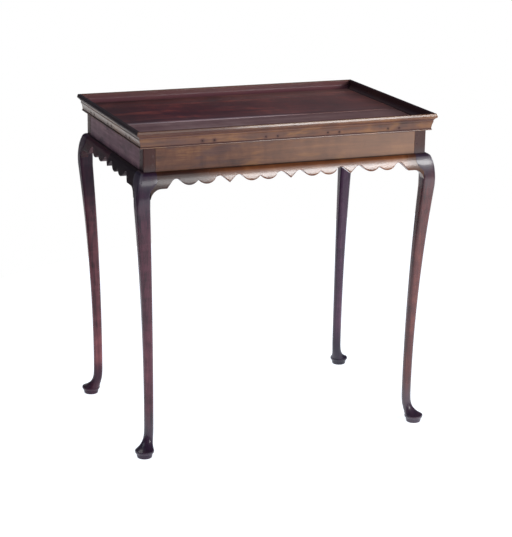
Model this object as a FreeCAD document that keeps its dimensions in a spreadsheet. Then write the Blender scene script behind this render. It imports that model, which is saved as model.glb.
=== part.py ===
"""A tray top tea table on four cabriole legs, every piece its own solid, in millimetres.

The table stands on z = 0 with its front toward -Y. Pieces that follow a side of the frame are
drawn with +X along that side and +Y outward from the frieze face, then turned into place. A leg is
drawn with the outer corner of its post at x = y = 0 and both outward directions positive.
"""

import math
import os
from types import SimpleNamespace
import FreeCAD
import Part
import Sketcher
from FreeCAD import Placement, Rotation, Vector

SIZES = (
    ("table_height", 700.0, "floor to the top of the gallery rim"),
    ("frame_length", 630.0, "over the posts, side to side"),
    ("frame_depth", 410.0, "over the posts, front to back"),
    ("rim_height", 36.0, "gallery rim, underside to top"),
    ("rim_overhang", 18.0, "tip of the rim beyond the frieze face"),
    ("rim_thickness", 8.0, "top of the rim, tip to inner face"),
    ("rim_fascia", 8.3, "flat of the rim beyond the frieze face"),
    ("rim_lean", 1.0, "lean of that flat from foot to top"),
    ("rim_bead", 3.2, "bead along the foot of the rim"),
    ("rim_cove", 6.8, "cove under the nose, foot to top"),
    ("rim_cove_radius", 6.3, "hollow of that cove"),
    ("rim_fillet", 1.4, "fillet between cove and nose"),
    ("nose_height", 9.8, "rounded nose along the top of the rim"),
    ("nose_foot_back", 3.7, "foot of the nose behind its tip"),
    ("nose_top_back", 4.9, "top of the nose behind its tip"),
    ("lip_radius", 1.6, "inner top edge of the rim"),
    ("board_thickness", 17.5, "tray floor"),
    ("board_lip", 1.0, "tray floor beyond the frieze face"),
    ("board_joint", 50.0, "joint of the two boards, in front of the middle"),
    ("joint_gap", 0.4, "shrinkage between the two boards"),
    ("frieze_height", 50.0, "rails, underside to top"),
    ("rail_thickness", 20.0, "rails"),
    ("post_side", 26.0, "square post at the top of a leg"),
    ("tenon_thickness", 7.0, "tenon"),
    ("tenon_setback", 5.0, "tenon behind the frieze face"),
    ("tenon_shoulder", 7.0, "shoulder above and below a tenon"),
    ("tenon_wall", 1.0, "wood between the two mortises of a post"),
    ("slip", 0.1, "clearance round tenons, pegs, screws and nails"),
    ("peg_radius", 2.2, "tenon peg"),
    ("peg_past", 5.0, "tenon peg beyond the back of its tenon"),
    ("knee_projection", 19.4, "knee beyond the post at its crown"),
    ("knee_drop", 56.0, "crown of the knee below the frieze"),
    ("knee_shoulder", 10.9, "radius of the knee's shoulder"),
    ("knee_corner", 0.9, "corners of the knee at the frieze"),
    ("knee_height", 72.0, "top of the shank below the frieze"),
    ("knee_fall", 0.5, "top of the shank inside the crown of the knee"),
    ("shank_side", 28.7, "top of the shank, across the flats"),
    ("shank_corner", 5.3, "corners of the shank there"),
    ("ankle_height", 80.0, "height of the ankle"),
    ("ankle_setback", 13.7, "middle of the ankle inside the corner of the post"),
    ("ankle_side", 20.0, "ankle, across"),
    ("pad_height", 16.5, "top edge of the pad foot"),
    ("pad_radius", 20.0, "pad foot, at its top edge"),
    ("pad_undercut", 1.2, "underside of the pad inside that edge"),
    ("shoe_radius", 14.4, "disc under the pad, at the floor"),
    ("shoe_flare", 3.0, "disc at the pad beyond its foot"),
    ("shoe_height", 9.1, "disc under the pad"),
    ("shoe_round", 2.0, "lower edge of the disc"),
    ("apron_depth", 29.5, "drops of the apron below the frieze"),
    ("apron_cusp", 19.5, "cusps of the apron below the frieze"),
    ("apron_back", 12.0, "square back of the apron below the frieze"),
    ("apron_relief", 2.0, "bevelled back of the apron beyond the frieze face, at its drops"),
    ("apron_recess", 0.3, "apron face behind the face of the knee"),
    ("arch_spring", 18.5, "springing of the apron's small arches below the frieze"),
    ("arch_width", 17.0, "small arch beside a drop"),
    ("drop_half", 12.5, "half a drop, at the springing of the arches"),
    ("ear_front", 45.0, "ear of a front or back bracket, from the corner of the frame"),
    ("ear_end", 60.0, "ear of an end bracket, from the corner of the frame"),
    ("ear_depth", 33.0, "flat of an ear below the frieze"),
    ("ear_hollow", 24.0, "radius of the hollow between ear and shank"),
    ("bracket_tail", 62.0, "foot of a bracket below the frieze"),
    ("bracket_seat", 0.6, "foot of a bracket's hollow within the face of the shank"),
    ("block_length", 40.0, "glue block"),
    ("block_width", 14.0, "glue block"),
    ("block_height", 27.0, "glue block"),
    ("block_bevel", 4.2, "bevelled edges of a glue block"),
    ("block_rise", 1.0, "foot of a glue block above the square back of the apron"),
    ("block_spread", 189.0, "outer blocks of a long row, from its middle"),
    ("block_spread_end", 45.0, "blocks of an end row, from its middle"),
    ("screw_radius", 2.1, "top screw"),
    ("screw_depth", 24.0, "screw head below the top of the rail"),
    ("screw_bite", 11.5, "screw into the tray floor"),
    ("screw_tilt", 18.0, "screw from upright, in degrees"),
    ("screw_spread", 120.0, "screws on a long rail, from its middle"),
    ("screw_spread_end", 100.0, "screws on an end rail, from its middle"),
    ("pocket_radius", 5.0, "pocket for a screw head"),
    ("pocket_length", 36.0, "pocket for a screw head"),
    ("nail_radius", 0.9, "rim nail"),
    ("nail_length", 24.0, "rim nail under its head"),
    ("nail_head", 1.6, "radius of the head of a rim nail"),
    ("nail_head_height", 0.5, "head of a rim nail"),
    ("nail_sink", 1.0, "seat of a nail head below the face of the rim"),
    ("nail_rise", 9.0, "nails above the underside of the rim"),
    ("nail_gap", 26.0, "between the two nails of a pair"),
    ("nail_pitch", 138.0, "between pairs on a long side"),
    ("nail_pitch_end", 130.0, "between pairs on an end"),
    ("nail_shift", 27.0, "pairs on a long side off its middle"),
)

doc = FreeCAD.newDocument("TrayTopTeaTable")
sheet = doc.addObject("Spreadsheet::Sheet", "Sizes")
for row, (alias, number, meaning) in enumerate(SIZES, start=1):
    sheet.set(f"A{row}", meaning)
    sheet.set(f"B{row}", str(number))
    sheet.setAlias(f"B{row}", alias)
doc.recompute()


class Size:
    """A length worked out from the sheet: its number, and the formula that binds it there."""

    def __init__(self, value, text):
        self.value = value
        self.text = text

    def __add__(self, other):
        other = as_size(other)
        return Size(self.value + other.value, f"({self.text} + {other.text})")

    def __sub__(self, other):
        other = as_size(other)
        return Size(self.value - other.value, f"({self.text} - {other.text})")

    def __mul__(self, other):
        other = as_size(other)
        return Size(self.value * other.value, f"({self.text} * {other.text})")

    def __truediv__(self, other):
        other = as_size(other)
        return Size(self.value / other.value, f"({self.text} / {other.text})")

    def __neg__(self):
        return Size(-self.value, f"(0 - {self.text})")

    def __radd__(self, other):
        return as_size(other) + self

    def __rsub__(self, other):
        return as_size(other) - self

    def __rmul__(self, other):
        return as_size(other) * self

    def root(self):
        return Size(math.sqrt(self.value), f"sqrt({self.text})")


def as_size(item):
    """A plain number as a length with no cell behind it."""
    return item if isinstance(item, Size) else Size(float(item), f"({float(item):.6f})")


size = SimpleNamespace(**{
    alias: Size(float(sheet.get(alias)), f"Sizes.{alias}") for alias, number, meaning in SIZES
})

length = size.frame_length
depth = size.frame_depth
post = size.post_side
rail = size.rail_thickness
slip = size.slip
rim_foot = size.table_height - size.rim_height
floor_top = rim_foot + size.board_thickness
frieze_foot = rim_foot - size.frieze_height
tenon_back = size.tenon_setback + size.tenon_thickness
tenon_foot = frieze_foot + size.tenon_shoulder
tenon_height = size.frieze_height - 2 * size.tenon_shoulder
tenon_length = post - tenon_back - size.tenon_wall
peg_length = tenon_back + size.peg_past
tilt = math.radians(size.screw_tilt.value)
nail_height = rim_foot + size.nail_rise

# Each side of the frame: its turn, the middle of its frieze face and its length over the posts.
SIDES = {
    "back": (0, as_size(0), depth / 2, length),
    "left": (90, -length / 2, as_size(0), depth),
    "front": (180, as_size(0), -depth / 2, length),
    "right": (270, length / 2, as_size(0), depth),
}
LONG = ("front", "back")

# Each leg: its turn and the outer corner of its post.
CORNERS = {
    "back_right": (0, length / 2, depth / 2),
    "back_left": (90, -length / 2, depth / 2),
    "front_left": (180, -length / 2, -depth / 2),
    "front_right": (270, length / 2, -depth / 2),
}

# The legs at the two ends of each side, first the one toward -X of the side as drawn.
MEETS = {
    "back": ("back_left", "back_right"),
    "left": ("front_left", "back_left"),
    "front": ("front_right", "front_left"),
    "right": ("back_right", "front_right"),
}


def bind(thing, name, amount):
    """Sets a property of a feature from a length, bound to the sheet."""
    thing.setExpression(name, as_size(amount).text)


def place(thing, turn, x, y, z=0):
    """Stands a piece or a cut at a point, turned as given."""
    thing.Placement = Placement(Vector(), turn)
    bind(thing, "Placement.Base.x", x)
    bind(thing, "Placement.Base.y", y)
    bind(thing, "Placement.Base.z", z)


def about_z(degrees):
    return Rotation(Vector(0, 0, 1), degrees)


def about_x(degrees):
    return Rotation(Vector(1, 0, 0), degrees)


def new_body(label):
    body = doc.addObject("PartDesign::Body", label)
    body.Label = label
    return body


def sketch_on(body, role, name, x=0, y=0, z=0):
    """A sketch on one of the body's own planes, moved by x and y in the plane and z off it."""
    plane = next(item for item in body.Origin.OriginFeatures if item.Role == role)
    sketch = body.newObject("Sketcher::SketchObject", name)
    sketch.AttachmentSupport = (plane, [""])
    sketch.MapMode = "FlatFace"
    bind(sketch, "AttachmentOffset.Base.x", x)
    bind(sketch, "AttachmentOffset.Base.y", y)
    bind(sketch, "AttachmentOffset.Base.z", z)
    return sketch


def pin(sketch, edge, end, x, y):
    """Dimensions one corner of an outline from the sketch's origin."""
    for kind, amount, axis in (("DistanceX", x, -2), ("DistanceY", y, -1)):
        if amount.value == 0:
            sketch.addConstraint(Sketcher.Constraint("PointOnObject", edge, end, axis))
        else:
            rule = Sketcher.Constraint(kind, -1, 1, edge, end, amount.value)
            bind(sketch, f"Constraints[{sketch.addConstraint(rule)}]", amount)


def draw_arc(sketch, start, finish, radius):
    """Adds an arc; a positive radius turns left on the way to the finish, a negative one right."""
    chord = finish - start
    half = chord.Length / 2
    left = Vector(-chord.y, chord.x, 0).normalize()
    rise = abs(radius.value) - math.sqrt(radius.value ** 2 - half ** 2)
    middle = (start + finish) / 2 - left * math.copysign(rise, radius.value)
    edge = sketch.addGeometry(Part.Arc(start, middle, finish), False)
    rule = Sketcher.Constraint("Radius", edge, abs(radius.value))
    bind(sketch, f"Constraints[{sketch.addConstraint(rule)}]",
         radius if radius.value > 0 else -radius)
    return edge


def outline(sketch, path):
    """Draws a closed outline of (x, y) corners; (x, y, radius) starts an arc to the next one."""
    corners = [(as_size(item[0]), as_size(item[1])) for item in path]
    points = [Vector(x.value, y.value, 0) for x, y in corners]
    starts = []
    ends = []
    for item, start, finish in zip(path, points, points[1:] + points[:1]):
        turns_right = False
        if len(item) == 3:
            radius = as_size(item[2])
            turns_right = radius.value < 0
            edge = draw_arc(sketch, start, finish, radius)
        else:
            edge = sketch.addGeometry(Part.LineSegment(start, finish), False)
        starts.append((edge, 2 if turns_right else 1))
        ends.append((edge, 1 if turns_right else 2))
    for before, after, (x, y) in zip(ends[-1:] + ends[:-1], starts, corners):
        sketch.addConstraint(Sketcher.Constraint("Coincident", *before, *after))
        pin(sketch, *after, x, y)


def pad_both_ways(body, sketch, amount):
    """Pads an outline by half the amount to each side of its plane."""
    feature = body.newObject("PartDesign::Pad", sketch.Name + "_pad")
    feature.Profile = sketch
    feature.SideType = "Symmetric"
    bind(feature, "Length", amount)


def pad_up(body, sketch, amount):
    """Pads an outline upward from its level."""
    feature = body.newObject("PartDesign::Pad", sketch.Name + "_pad")
    feature.Profile = sketch
    bind(feature, "Length", amount)


def cut_through(body, sketch):
    """Cuts an outline right through the body, both ways from its plane."""
    feature = body.newObject("PartDesign::Pocket", sketch.Name + "_cut")
    feature.Profile = sketch
    feature.SideType = "Symmetric"
    feature.Type = "ThroughAll"
    return feature


def turn_round(body, sketch):
    """Turns an outline about the upright axis of its sketch."""
    feature = body.newObject("PartDesign::Revolution", sketch.Name + "_turned")
    feature.Profile = sketch
    feature.ReferenceAxis = (sketch, ["V_Axis"])
    feature.Angle = 360


def bore(body, radius, amount, turn, x, y, z):
    """Cuts a round hole that starts at a point and runs along the turned vertical."""
    hole = body.newObject("PartDesign::SubtractiveCylinder", "bore")
    bind(hole, "Radius", radius)
    bind(hole, "Height", amount)
    place(hole, turn, x, y, z)


def chop(body, across, inward, upward, x, y, z):
    """Cuts a square-cornered recess of three lengths from its lowest corner."""
    recess = body.newObject("PartDesign::SubtractiveBox", "recess")
    bind(recess, "Length", across)
    bind(recess, "Width", inward)
    bind(recess, "Height", upward)
    place(recess, Rotation(), x, y, z)


def group(label, members):
    """Gathers like solids under one name."""
    gathered = doc.addObject("Part::Compound", label)
    gathered.Label = label
    gathered.Links = members
    return gathered


def on_side(name, along, out):
    """Plan position of a point given along a side of the frame and outward from its frieze."""
    turn, x, y, _ = SIDES[name]
    cosine = round(math.cos(math.radians(turn)))
    sine = round(math.sin(math.radians(turn)))
    return x + cosine * along - sine * out, y + sine * along + cosine * out


def screw_run(name):
    """Screws along a rail, from its middle."""
    spread = size.screw_spread if name in LONG else size.screw_spread_end
    return (-spread, spread)


def screw_spots(back):
    """How each screw points, and its axis at a distance back down it from the tray floor."""
    for name, (turn, _, _, _) in SIDES.items():
        slope = about_z(turn).multiply(about_x(-math.degrees(tilt)))
        for along in screw_run(name):
            x, y = on_side(name, along, -rail / 2 - back * math.sin(tilt))
            yield slope, x, y, rim_foot - back * math.cos(tilt)


def nail_run(name):
    """Nails along a side of the rim, in pairs, from its middle."""
    if name in LONG:
        middles = [size.nail_pitch * step - size.nail_shift for step in (-1.5, -0.5, 0.5, 1.5)]
    else:
        middles = [size.nail_pitch_end * step for step in (-1, 0, 1)]
    for middle in middles:
        yield middle - size.nail_gap / 2
        yield middle + size.nail_gap / 2


def nail_spots(out):
    """Where each nail lies at a distance out from the frieze, and how it points."""
    for name, (turn, _, _, _) in SIDES.items():
        inward = about_z(turn).multiply(about_x(90))
        for along in nail_run(name):
            x, y = on_side(name, along, out)
            yield inward, x, y


nail_seat = size.rim_fascia - size.nail_sink


def tray_board(label, front, back):
    """One board of the tray floor, with pilot holes for screws below and nails in its edges."""
    body = new_body(label)
    half = length / 2 + size.board_lip
    plan = sketch_on(body, "XY_Plane", label + "_plan", z=rim_foot)
    outline(plan, [(-half, front), (half, front), (half, back), (-half, back)])
    pad_up(body, plan, size.board_thickness)
    pilot = size.screw_radius + slip
    for slope, x, y, z in screw_spots(pilot):
        if front.value <= y.value <= back.value:
            bore(body, pilot, size.screw_bite + slip + pilot, slope, x, y, z)
    bite = size.nail_length - nail_seat + size.board_lip + slip
    for inward, x, y in nail_spots(size.board_lip):
        if front.value <= y.value <= back.value:
            bore(body, size.nail_radius + slip, bite, inward, x, y, nail_height)
    return body


def gallery_rim(label, name):
    """A length of gallery moulding, mitred at both ends, with its nail holes."""
    body = new_body(label)
    turn, x, y, run = SIDES[name]
    lip = size.board_lip
    tip = size.rim_overhang
    top = size.table_height
    wall = tip - size.rim_thickness
    hollow = wall - lip
    fascia = size.rim_fascia
    nose_foot = top - size.nose_height
    cove_top = nose_foot - size.rim_fillet
    section = sketch_on(body, "YZ_Plane", label + "_section")
    outline(section, [
        (lip, rim_foot),
        (fascia, rim_foot, size.rim_bead * 0.515),
        (fascia, rim_foot + size.rim_bead),
        (fascia + size.rim_lean, cove_top - size.rim_cove, -size.rim_cove_radius),
        (tip - size.nose_foot_back, cove_top),
        (tip - size.nose_foot_back, nose_foot, size.nose_height * 0.508),
        (tip - size.nose_top_back, top),
        (wall + size.lip_radius, top, size.lip_radius),
        (wall, top - size.lip_radius),
        (wall, floor_top + hollow, -hollow),
        (lip, floor_top),
    ])
    pad_both_ways(body, section, run + 4 * tip)
    mitre = sketch_on(body, "XY_Plane", label + "_mitre", z=rim_foot)
    inside = run / 2 - tip
    outside = run / 2 + 3 * tip
    outline(mitre, [(inside, -tip), (outside, -tip), (outside, 3 * tip)])
    outline(mitre, [(-inside, -tip), (-outside, 3 * tip), (-outside, -tip)])
    cut_through(body, mitre)
    for along in nail_run(name):
        bore(body, size.nail_radius + slip, 2 * fascia, about_x(90), along, 2 * fascia, nail_height)
        bore(body, size.nail_head + slip, fascia, about_x(90), along, nail_seat + fascia, nail_height)
    place(body, about_z(turn), x, y)
    return body


def peg_spots(reach):
    """Where pegs cross a tenon: low at one end, high at the other, so that they pass in a post."""
    for end, shares in ((reach, (0.21, 0.684)), (-reach, (0.394, 0.868))):
        for share in shares:
            yield end, tenon_foot + tenon_height * share


def frieze_rail(label, name):
    """A frieze rail with a tenon at each end, bored for its pegs and pocketed for the screws."""
    body = new_body(label)
    turn, x, y, run = SIDES[name]
    clear = run - 2 * post
    section = sketch_on(body, "YZ_Plane", label + "_section")
    outline(section, [(-rail, frieze_foot), (0, frieze_foot), (0, rim_foot), (-rail, rim_foot)])
    pad_both_ways(body, section, clear)
    tenon = sketch_on(body, "YZ_Plane", label + "_tenon")
    tenon_top = tenon_foot + tenon_height
    outline(tenon, [
        (-tenon_back, tenon_foot),
        (-size.tenon_setback, tenon_foot),
        (-size.tenon_setback, tenon_top),
        (-tenon_back, tenon_top),
    ])
    pad_both_ways(body, tenon, clear + 2 * tenon_length)
    for along, height in peg_spots(clear / 2 + tenon_length / 2):
        bore(body, size.peg_radius + slip, rail, about_x(90), along, 0, height)
    for along in screw_run(name):
        screw_pocket(body, along)
    place(body, about_z(turn), x, y)
    return body


def screw_pocket(body, along):
    """Clearance hole, countersink and head pocket, sloping out through the inside of a rail."""
    slope = about_x(-math.degrees(tilt))
    sink = size.screw_radius + slip
    head = size.screw_depth
    deep = head + size.pocket_length
    y, z = -rail / 2 - head * math.sin(tilt), rim_foot - head * math.cos(tilt)
    bore(body, sink, head + rail, slope, along, y, z)
    countersink = body.newObject("PartDesign::SubtractiveCone", "countersink")
    bind(countersink, "Radius1", 2 * sink)
    bind(countersink, "Radius2", sink)
    bind(countersink, "Height", sink)
    place(countersink, slope, along, y, z)
    y, z = -rail / 2 - deep * math.sin(tilt), rim_foot - deep * math.cos(tilt)
    bore(body, size.pocket_radius, size.pocket_length, slope, along, y, z)


# The knee's face in section: a small shoulder arc running into a long flat one.
shoulder = size.knee_shoulder
crown = size.knee_projection
drop = size.knee_drop
long_arc = (crown * crown + drop * drop - 2 * drop * shoulder) / (2 * crown - 2 * shoulder)
arc_share = shoulder / (long_arc - shoulder)
shoulder_out = arc_share * (long_arc - crown)
shoulder_height = frieze_foot - shoulder + arc_share * (drop - shoulder)
shank_top = frieze_foot - size.knee_height
shank_outer = crown - size.knee_fall
shank_inner = shank_outer - size.shank_side


def knee_out(below):
    """How far the knee's long arc stands out at a depth below the frieze."""
    lift = drop - below
    return (long_arc * long_arc - lift * lift).root() - long_arc + crown


def knee_face(below):
    """Corners of the knee's face from a depth up to the frieze, for pieces along a side."""
    back = size.apron_recess
    return [
        (knee_out(below) - back, frieze_foot - below, long_arc),
        (shoulder_out - back, shoulder_height, shoulder),
        (-back, frieze_foot),
    ]


def knee_stations():
    """Height, outer face, inner face and corner radius of a leg's sections down its knee."""
    for angle in (0, 22, 44, 66):
        sine = math.sin(math.radians(angle))
        cosine = math.cos(math.radians(angle))
        yield frieze_foot - shoulder * (1 - cosine), shoulder * sine, -post, size.knee_corner
    for share in (0.2, 0.4, 0.6, 0.8):
        ease = min(1, (share - 0.2) / 0.42)
        ease = ease * ease * (3 - 2 * ease)
        below = size.knee_height * share
        inner = -post + (post + shank_inner) * ease
        corner = size.knee_corner + (size.shank_corner - size.knee_corner) * ease
        yield frieze_foot - below, knee_out(below), inner, corner


def shank_stations():
    """The same down the shank, which sweeps in to the ankle and turns from square to round."""
    ankle_outer = size.ankle_side / 2 - size.ankle_setback
    ankle_inner = ankle_outer - size.ankle_side
    for level in (1, 0.92, 0.78, 0.63, 0.475, 0.3, 0.13, 0):
        share = level ** 1.9
        outer = ankle_outer + (shank_outer - ankle_outer) * share
        inner = ankle_inner + (shank_inner - ankle_inner) * share
        corner = size.ankle_side * 0.48 + (size.shank_corner - size.ankle_side * 0.48) * share
        yield size.ankle_height + (shank_top - size.ankle_height) * level, outer, inner, corner


def foot_stations():
    """The same from the ankle out to the top of the pad, nearly round."""
    for level in (0.42, 0.63, 0.77, 0.88, 0.95, 1):
        middle = -size.ankle_setback * (1 - level ** 4.5)
        across = size.ankle_side + (2 * size.pad_radius - size.ankle_side) * level ** 7
        height = size.ankle_height + (size.pad_height - size.ankle_height) * level
        yield height, middle + across * 0.495, middle - across * 0.495, across * 0.475


def rounded_square(body, name, height, outer, inner, radius):
    """A section of a leg: a square with rounded corners on the diagonal of the post."""
    middle = (outer + inner) / 2
    half = (outer - inner) / 2
    flat = half - radius
    sketch = sketch_on(body, "XY_Plane", name, middle, middle, height)
    outline(sketch, [
        (-flat, -half),
        (flat, -half, radius),
        (half, -flat),
        (half, flat, radius),
        (flat, half),
        (-flat, half, radius),
        (-half, flat),
        (-half, -flat, radius),
    ])
    return sketch


def turned_foot(body, label):
    """Pad and disc of the foot, turned about an upright axis under the corner of the post."""
    profile = sketch_on(body, "XZ_Plane", label + "_foot")
    shoe = size.shoe_radius
    edge = size.pad_height
    swell = (edge - size.shoe_height) * 0.62
    outline(profile, [
        (0, 0),
        (shoe, 0, size.shoe_round),
        (shoe + size.shoe_round * 0.8, size.shoe_round),
        (shoe + size.shoe_flare, size.shoe_height),
        (size.pad_radius - size.pad_undercut, size.shoe_height * 1.12, swell),
        (size.pad_radius, edge),
        (0, edge),
    ])
    turn_round(body, profile)


def cabriole_leg(label, corner):
    """A leg from one timber: post, knee, curved shank, pad foot on its disc, and its mortises."""
    body = new_body(label)
    stations = [*knee_stations(), *shank_stations(), *foot_stations()]
    sections = [
        rounded_square(body, f"{label}_section_{number}", *station)
        for number, station in enumerate(stations)
    ]
    loft = body.newObject("PartDesign::AdditiveLoft", label + "_shank")
    loft.Profile = sections[0]
    loft.Sections = sections[1:]
    plan = sketch_on(body, "XY_Plane", label + "_post", z=frieze_foot)
    outline(plan, [(-post, -post), (0, -post), (0, 0), (-post, 0)])
    pad_up(body, plan, size.frieze_height)
    turned_foot(body, label)
    long = tenon_length + slip
    thick = size.tenon_thickness + 2 * slip
    high = tenon_height + 2 * slip
    back = -tenon_back - slip
    chop(body, long, thick, high, -post, back, tenon_foot - slip)
    chop(body, thick, long, high, back, -post, tenon_foot - slip)
    inset = tenon_length / 2 - post
    for end, height in peg_spots(1):
        spot = (inset, 0) if end > 0 else (0, inset)
        inward = about_x(90) if end > 0 else Rotation(Vector(0, 1, 0), -90)
        bore(body, size.peg_radius + slip, peg_length + slip, inward, *spot, height)
    turn, x, y = CORNERS[corner]
    place(body, about_z(turn), x, y)
    return body


# Drops, small arches and paired lobes along an apron, laid out from its middle drop.
arch_foot = frieze_foot - size.arch_spring
arch_end = size.drop_half + size.arch_width
arch_middle = size.drop_half + size.arch_width / 2
arch_radius = size.arch_width * 0.71
arch_top = arch_foot + arch_radius * (1 - math.sqrt(1 - (0.5 / 0.71) ** 2))
apron_tip = frieze_foot - size.apron_depth


def last_drop(name):
    """From the middle of a side to the ear of its bracket, and the drops of the apron to there."""
    if name in LONG:
        return length / 2 - size.ear_front, 2
    return depth / 2 - size.ear_end, 1


def scalloped_apron(label, name):
    """A convex apron under a rail, its lower edge cut to drops, arches and paired lobes."""
    body = new_body(label)
    turn, x, y, _ = SIDES[name]
    ear, drops = last_drop(name)
    section = sketch_on(body, "YZ_Plane", label + "_section")
    outline(section, [
        (-rail, frieze_foot),
        (-rail, frieze_foot - size.apron_back),
        (size.apron_relief, apron_tip),
        *knee_face(size.apron_depth),
    ])
    pad_both_ways(body, section, 2 * (ear - arch_middle))
    fret = sketch_on(body, "XZ_Plane", label + "_fret", x=-ear)
    cusp = ear / (2 * drops)
    cusp_height = frieze_foot - size.apron_cusp
    waste = apron_tip - size.apron_depth
    lobe = (cusp - arch_end) * 0.607
    outline(fret, [
        (-cusp, waste),
        (cusp, waste),
        (cusp, cusp_height, -lobe),
        (arch_end, arch_foot, arch_radius),
        (size.drop_half, arch_foot),
        (0, apron_tip),
        (-size.drop_half, arch_foot, arch_radius),
        (-arch_end, arch_foot, -lobe),
        (-cusp, cusp_height),
    ])
    unit = cut_through(body, fret)
    repeat = body.newObject("PartDesign::LinearPattern", label + "_repeat")
    axis = next(item for item in body.Origin.OriginFeatures if item.Role == "X_Axis")
    repeat.Originals = [unit]
    repeat.Direction = (axis, [""])
    repeat.Occurrences = 2 * drops + 1
    bind(repeat, "Length", 2 * ear)
    body.Tip = repeat
    place(body, about_z(turn), x, y)
    return body


def bracket_blank(label, name, hand):
    """A bracket's moulding and outline, from the last arch of an apron into the knee."""
    body = new_body(label)
    turn, x, y, run = SIDES[name]
    ear, _ = last_drop(name)
    start = ear - arch_middle
    stop = run / 2 - size.shank_side / 3
    tail = frieze_foot - size.bracket_tail
    section = sketch_on(body, "YZ_Plane", label + "_section", z=hand * (start + stop) / 2)
    outline(section, [
        (-rail, frieze_foot),
        (-rail, frieze_foot - size.apron_back),
        (size.apron_relief, apron_tip),
        (size.apron_relief, tail),
        (crown - size.apron_recess, tail),
        *knee_face(drop),
    ])
    pad_both_ways(body, section, stop - start)
    flat = frieze_foot - size.ear_depth
    hollow = size.ear_hollow
    inner = run / 2 + shank_inner + size.bracket_seat
    low = tail - hollow
    fret = sketch_on(body, "XZ_Plane", label + "_fret")
    outline(fret, [
        (hand * start, low),
        (hand * start, arch_top, -hand * arch_radius),
        (hand * (ear - size.drop_half), arch_foot),
        (hand * ear, flat),
        (hand * (inner - hollow), flat, -hand * hollow),
        (hand * inner, flat - hollow),
        (hand * inner, low),
    ])
    cut_through(body, fret)
    place(body, about_z(turn), x, y)
    return body


def knee_bracket(label, name, hand, leg):
    """A bracket glued between apron and leg, its end fitted to the face of the knee."""
    bracket = doc.addObject("Part::Cut", label)
    bracket.Label = label
    bracket.Base = bracket_blank(label + "_blank", name, hand)
    bracket.Tool = leg
    return bracket


def glue_blocks(label, name):
    """A row of glue blocks inside the frame, across the joint of rail and apron."""
    turn, x, y, _ = SIDES[name]
    if name in LONG:
        spots = (-size.block_spread, as_size(0), size.block_spread)
    else:
        spots = (-size.block_spread_end, size.block_spread_end)
    foot = frieze_foot - size.apron_back + size.block_rise
    top = foot + size.block_height
    inside = -rail - size.block_width
    bevel = size.block_bevel
    blocks = []
    for number, along in enumerate(spots):
        body = new_body(f"{label}_{number}")
        section = sketch_on(body, "YZ_Plane", f"{label}_{number}_section", z=along)
        outline(section, [
            (-rail, foot),
            (-rail, top),
            (inside + bevel, top),
            (inside, top - bevel),
            (inside, foot + bevel),
            (inside + bevel, foot),
        ])
        pad_both_ways(body, section, size.block_length)
        place(body, about_z(turn), x, y)
        blocks.append(body)
    return group(label, blocks)


def round_rod(label, radius, amount, turn, x, y, z):
    """A plain round rod that starts at a point and runs along the turned vertical."""
    rod = doc.addObject("Part::Cylinder", label)
    bind(rod, "Radius", radius)
    bind(rod, "Height", amount)
    place(rod, turn, x, y, z)
    return rod


def tenon_pegs(label):
    """Round pegs from the outer faces of the posts through the tenons."""
    pegs = []
    for name, (turn, _, _, run) in SIDES.items():
        inward = about_z(turn).multiply(about_x(90))
        for along, height in peg_spots(run / 2 - post + tenon_length / 2):
            x, y = on_side(name, along, as_size(0))
            peg = round_rod(f"peg_{len(pegs)}", size.peg_radius, peg_length, inward, x, y, height)
            pegs.append(peg)
    return group(label, pegs)


def top_screws(label):
    """Slotted screws from the rail pockets up into the tray floor."""
    radius = size.screw_radius
    head = size.screw_depth
    bite = size.screw_bite
    screws = []
    for slope, x, y, z in screw_spots(as_size(0)):
        body = new_body(f"screw_{len(screws)}")
        profile = sketch_on(body, "XZ_Plane", body.Label + "_profile")
        outline(profile, [
            (0, -head),
            (2 * radius, -head),
            (radius, radius - head),
            (radius, bite / 3),
            (radius * 0.6, bite * 0.9),
            (0, bite),
        ])
        turn_round(body, profile)
        chop(body, 4 * radius, radius / 2, radius / 2, -2 * radius, -radius / 4, -head)
        place(body, slope, x, y, z)
        screws.append(body)
    return group(label, screws)


def rim_nails(label):
    """Headed nails through the foot of the rim into the edges of the tray floor."""
    nails = []
    for inward, x, y in nail_spots(nail_seat):
        name = f"nail_{len(nails)}"
        outward = inward.multiply(about_x(180))
        nail = doc.addObject("Part::Fuse", name)
        nail.Base = round_rod(name + "_head", size.nail_head, size.nail_head_height, outward,
                              x, y, nail_height)
        nail.Tool = round_rod(name + "_shank", size.nail_radius, size.nail_length, inward,
                              x, y, nail_height)
        nails.append(nail)
    return group(label, nails)


front_edge = -depth / 2 - size.board_lip
nodes = [
    tray_board("tray_board_front", front_edge, -size.board_joint - size.joint_gap / 2),
    tray_board("tray_board_back", -size.board_joint + size.joint_gap / 2, -front_edge),
]
legs = {corner: cabriole_leg("leg_" + corner, corner) for corner in CORNERS}
nodes += legs.values()
for side, corners in MEETS.items():
    nodes.append(gallery_rim("rim_" + side, side))
    nodes.append(frieze_rail("rail_" + side, side))
    nodes.append(scalloped_apron("apron_" + side, side))
    nodes.append(glue_blocks("glue_blocks_" + side, side))
    for hand, corner in zip((-1, 1), corners):
        label = f"bracket_{corner}_long" if side in LONG else f"bracket_{corner}_end"
        nodes.append(knee_bracket(label, side, hand, legs[corner]))
nodes += [tenon_pegs("tenon_pegs"), top_screws("top_screws"), rim_nails("rim_nails")]
doc.recompute()

for thing in doc.Objects:
    if "Invalid" in thing.State or "Error" in thing.State:
        raise RuntimeError(f"{thing.Label} did not build: {thing.State}")
os.makedirs("parts", exist_ok=True)
for node in nodes:
    shape = node.Shape
    if shape.isNull() or not shape.isValid():
        raise RuntimeError(f"{node.Label} has no sound shape")
    shape.exportStep(f"parts/{node.Label}.step")
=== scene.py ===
"""A tray top tea table in old mahogany, dressed round its packed construction, in metres."""

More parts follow.
